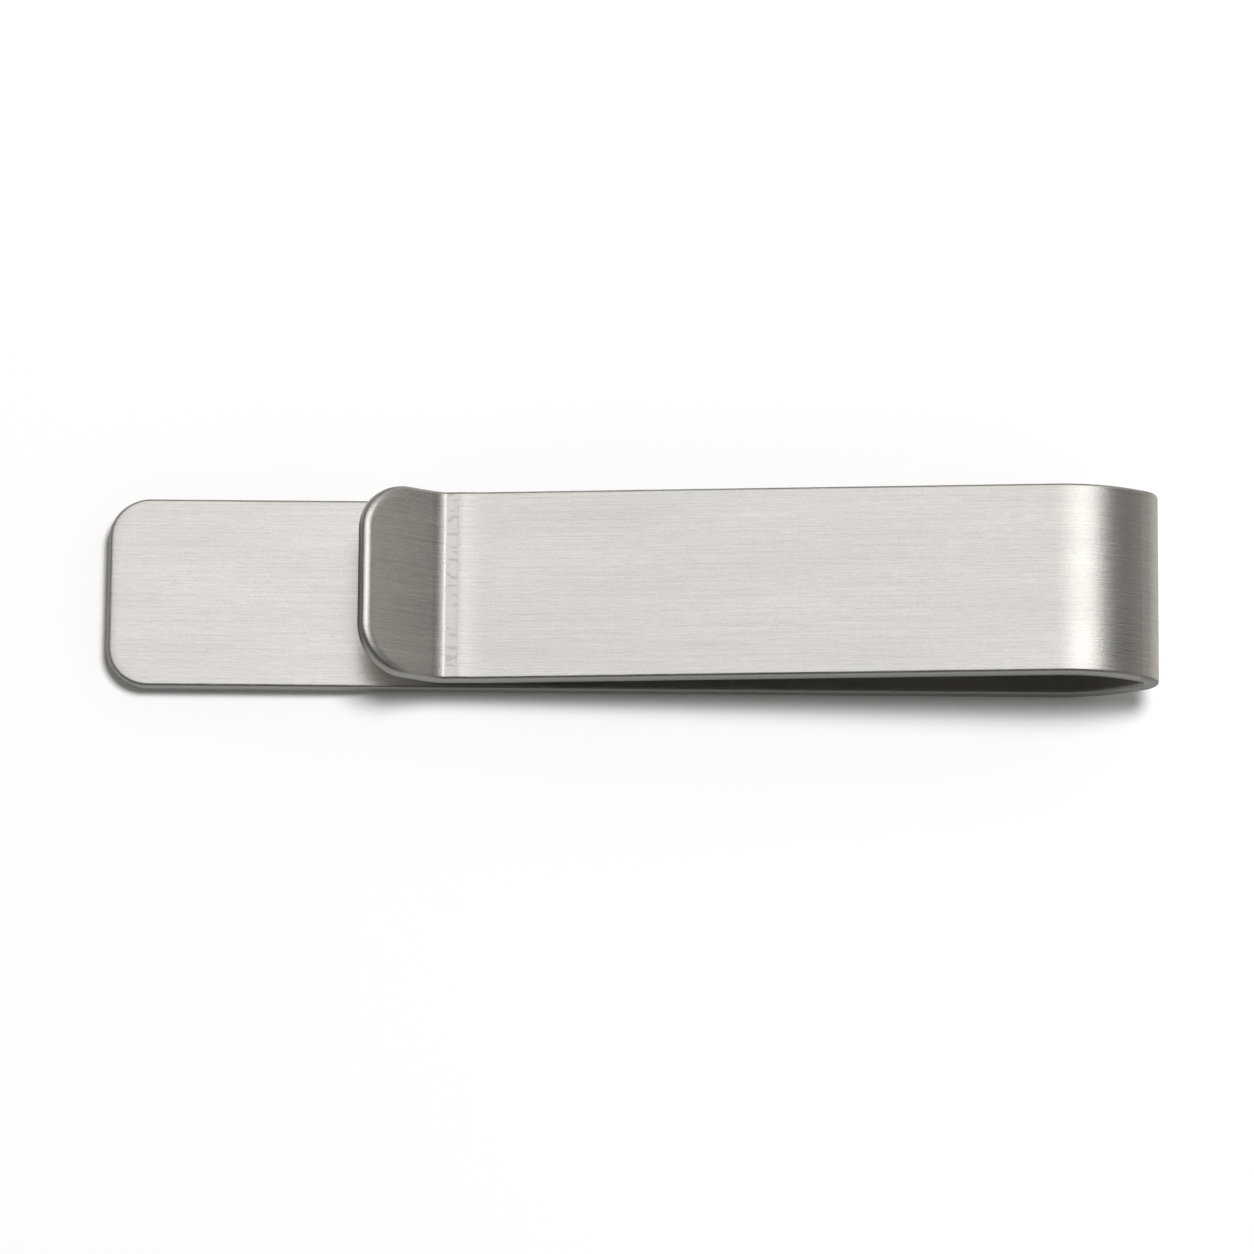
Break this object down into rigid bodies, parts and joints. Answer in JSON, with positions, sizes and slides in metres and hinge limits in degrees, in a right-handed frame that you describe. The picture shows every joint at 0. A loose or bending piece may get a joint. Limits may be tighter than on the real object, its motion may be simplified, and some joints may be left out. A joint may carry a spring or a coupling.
{
  "type": "tie clip",
  "caption": "Slide-on tie clip bent from a strip of brushed steel: a flat front bar, a springy fold and a return arm that pinches at a crease and ends in a thumb lip.",
  "frame": {"origin": "centre of the clip's outline, on the outer face of the front bar", "axes": "+X along the strip towards the fold, +Y across the strip, +Z from the front bar's outer face towards the spring arm"},
  "size_m": [0.0508, 0.0094, 0.0045],
  "materials": {
    "steel": "satin, brushed along the strip"
  },
  "bodies": {
    "front": {"front_bar": "steel", "fold_lower": "steel"},
    "fold": {"fold_upper": "steel"},
    "arm": {"spring_arm": "steel", "pinch_crease": "steel", "thumb_lip": "steel"}
  },
  "joints": [
    {"name": "fold_flex", "type": "hinge", "parent": "front", "child": "fold", "pos_m": [0.0254, 0, 0.00236], "axis": [0, 1, 0], "range_deg": [0, 4.4], "stiffness_Nm_per_rad": 3.8},
    {"name": "arm_flex", "type": "hinge", "parent": "fold", "child": "arm", "pos_m": [0.02035, 0, 0.00444], "axis": [0, 1, 0], "range_deg": [0, 2.6], "stiffness_Nm_per_rad": 6.9}
  ]
}
